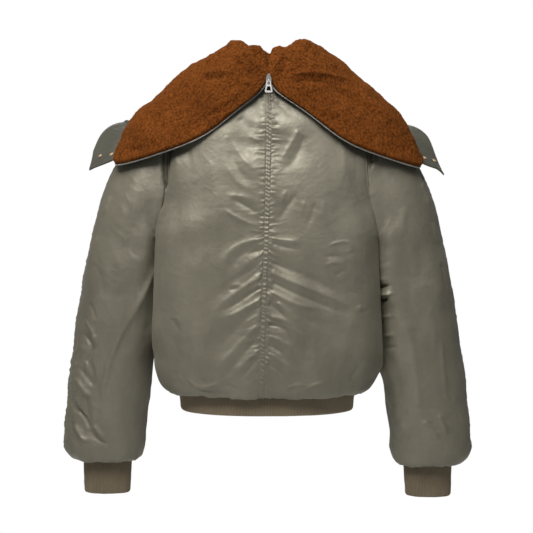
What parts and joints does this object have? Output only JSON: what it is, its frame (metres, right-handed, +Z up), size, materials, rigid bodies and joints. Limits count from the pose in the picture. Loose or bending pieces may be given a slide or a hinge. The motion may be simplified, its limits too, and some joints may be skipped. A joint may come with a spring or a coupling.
{
  "type": "short flight jacket with a split pile-lined hood",
  "caption": "Short padded nylon flight jacket, filled out and hollow, with rib-knit hem and cuffs and a zip-split, pile-lined hood lying open over the shoulders.",
  "frame": {"origin": "middle of the neck opening at the height of the neck seam, where the wearer's neck and shoulders carry the jacket", "axes": "+X towards the wearer's right, +Y towards the wearer's front, +Z up; the picture looks at the back, along +Y"},
  "size_m": [0.78, 0.2969, 0.8614],
  "materials": {
    "nylon": "sage-grey nylon satin with a soft sheen, lightly padded",
    "rib": "brown-olive rib knit, matt",
    "pile": "rust-brown curly pile, matt",
    "band": "dark grey-green nylon",
    "tape": "grey-green twill zip tape",
    "metal": "light silver metal, satin",
    "brass": "dull brass"
  },
  "bodies": {
    "garment": {"back_left": "nylon", "back_right": "nylon", "front_left": "nylon", "front_right": "nylon", "sleeve_left_back": "nylon", "sleeve_left_front": "nylon", "sleeve_right_back": "nylon", "sleeve_right_front": "nylon", "cuff_left": "rib", "cuff_right": "rib", "hem_rib": "rib", "hood_shell_left": "nylon", "hood_shell_right": "nylon", "hood_pile_left": "pile", "hood_pile_right": "pile", "hood_band_left": "band", "hood_band_right": "band", "hood_stud_left_1": "brass", "hood_stud_left_2": "brass", "hood_stud_right_1": "brass", "hood_stud_right_2": "brass", "hood_tape_left": "tape", "hood_tape_right": "tape", "hood_teeth_left": "metal", "hood_teeth_right": "metal", "hood_slider": "metal", "front_tape_left": "tape", "front_tape_right": "tape", "front_teeth_left": "metal", "front_teeth_right": "metal", "front_slider": "metal"},
    "hood_tab": {"hood_pull": "metal"},
    "front_tab": {"front_pull": "metal"}
  },
  "joints": [
    {"name": "hood_pull_swing", "type": "hinge", "parent": "garment", "child": "hood_tab", "pos_m": [0.00317, -0.117, -0.015], "axis": [-1, 0, 0], "range_deg": [0, 150]},
    {"name": "front_pull_swing", "type": "hinge", "parent": "garment", "child": "front_tab", "pos_m": [0, 0.0874, -0.08197], "axis": [1, 0, 0], "range_deg": [0, 150]}
  ]
}
